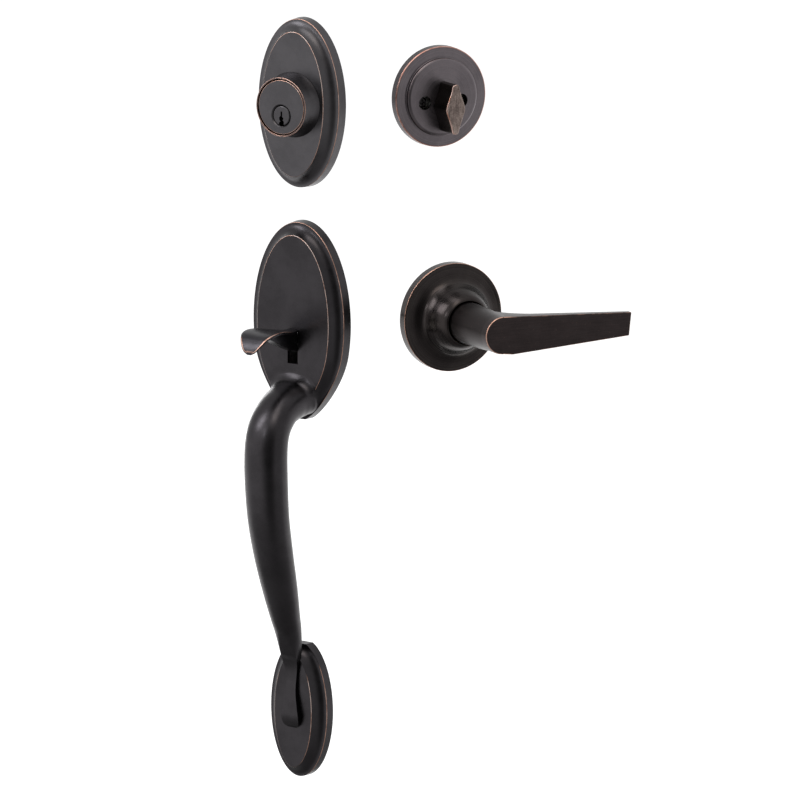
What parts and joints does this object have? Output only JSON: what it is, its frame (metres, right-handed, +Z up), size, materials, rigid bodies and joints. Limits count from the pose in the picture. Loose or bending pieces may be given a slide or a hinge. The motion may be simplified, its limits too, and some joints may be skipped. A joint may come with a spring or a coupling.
{
  "type": "entry door handleset",
  "caption": "Oil-rubbed bronze entry door set: keyed deadbolt, thumb-latch grip handle with oval plates, inside thumbturn and inside lever on round roses.",
  "frame": {"origin": "the latch bore's axis at the door's outside face, which is also the middle of the upper handle plate's back", "axes": "+Z up the door, -Y straight out of the door on the outside, +X to the right seen from outside. The inside thumbturn and lever stand beside the outside pieces and face 60.5 degrees round from them about Z, as the picture lays the set out."},
  "size_m": [0.2095, 0.175, 0.4915],
  "materials": {
    "plate_bronze": "oil-rubbed bronze, satin, with rubbed copper edges",
    "handle_bronze": "oil-rubbed bronze, satin, with rubbed copper edges",
    "thumb_bronze": "oil-rubbed bronze, satin, with rubbed copper edges",
    "turn_bronze": "oil-rubbed bronze, brushed, with rubbed copper edges",
    "lever_bronze": "oil-rubbed bronze, satin, with rubbed copper edges",
    "plug_bronze": "satin, darkened",
    "zinc_steel": "zinc plated",
    "black_steel": "blackened",
    "spring_bronze": "drawn wire"
  },
  "bodies": {
    "outside_and_inside_trim": {"deadbolt_plate": "plate_bronze", "cylinder_collar": "plate_bronze", "cylinder_shell": "plate_bronze", "handle_casting": "handle_bronze", "thumbpiece_spring": "spring_bronze", "latch_bracket": "zinc_steel", "bracket_screw_upper": "zinc_steel", "bracket_screw_lower": "zinc_steel", "lower_stud": "zinc_steel", "thumbturn_rose": "turn_bronze", "thumbturn_backing_plate": "zinc_steel", "thumbturn_spring_washer": "zinc_steel", "thumbturn_screw_left": "black_steel", "thumbturn_screw_right": "black_steel", "lever_rose": "lever_bronze", "lever_bushing": "spring_bronze", "lever_chassis": "zinc_steel", "lever_return_spring": "spring_bronze", "lever_screw_left": "black_steel", "lever_screw_right": "black_steel"},
    "key_plug_body": {"key_plug": "plug_bronze", "plug_retainer": "plug_bronze", "cylinder_tailpiece": "black_steel"},
    "thumbpiece_body": {"thumbpiece": "thumb_bronze", "pivot_shaft": "zinc_steel", "lift_arm": "zinc_steel"},
    "latch_cam_body": {"latch_cam": "zinc_steel", "cam_ring": "zinc_steel", "latch_spindle": "black_steel"},
    "thumbturn_body": {"thumbturn": "turn_bronze", "thumbturn_clip": "zinc_steel"},
    "lever_body": {"lever_handle": "lever_bronze", "lever_set_screw": "zinc_steel", "spring_driver": "zinc_steel", "lever_clip": "zinc_steel", "lever_spindle": "black_steel"}
  },
  "joints": [
    {"name": "key_turn", "type": "hinge", "parent": "outside_and_inside_trim", "child": "key_plug_body", "pos_m": [0, 0, 0.1342], "axis": [0, -1, 0], "range_deg": [-90, 90]},
    {"name": "thumbpiece_press", "type": "hinge", "parent": "outside_and_inside_trim", "child": "thumbpiece_body", "pos_m": [0, -0.0055, -0.011], "axis": [1, 0, 0], "range_deg": [0, 14], "stiffness_Nm_per_rad": 0.08, "springref_deg": -28.65},
    {"name": "latch_cam_turn", "type": "hinge", "parent": "outside_and_inside_trim", "child": "latch_cam_body", "pos_m": [0, 0, 0], "axis": [0, -1, 0], "range_deg": [0, 36]},
    {"name": "thumbturn_turn", "type": "hinge", "parent": "outside_and_inside_trim", "child": "thumbturn_body", "pos_m": [0.0533, 0.0699, 0.1342], "axis": [0.8704, -0.4924, 0], "range_deg": [0, 90]},
    {"name": "lever_turn", "type": "hinge", "parent": "outside_and_inside_trim", "child": "lever_body", "pos_m": [0.0662, 0.0652, 0], "axis": [0.8704, -0.4924, 0], "range_deg": [-45, 45], "stiffness_Nm_per_rad": 3}
  ],
  "couplings": [
    {"joint": "latch_cam_turn", "follows": "thumbpiece_press", "ratio": 2.5}
  ]
}
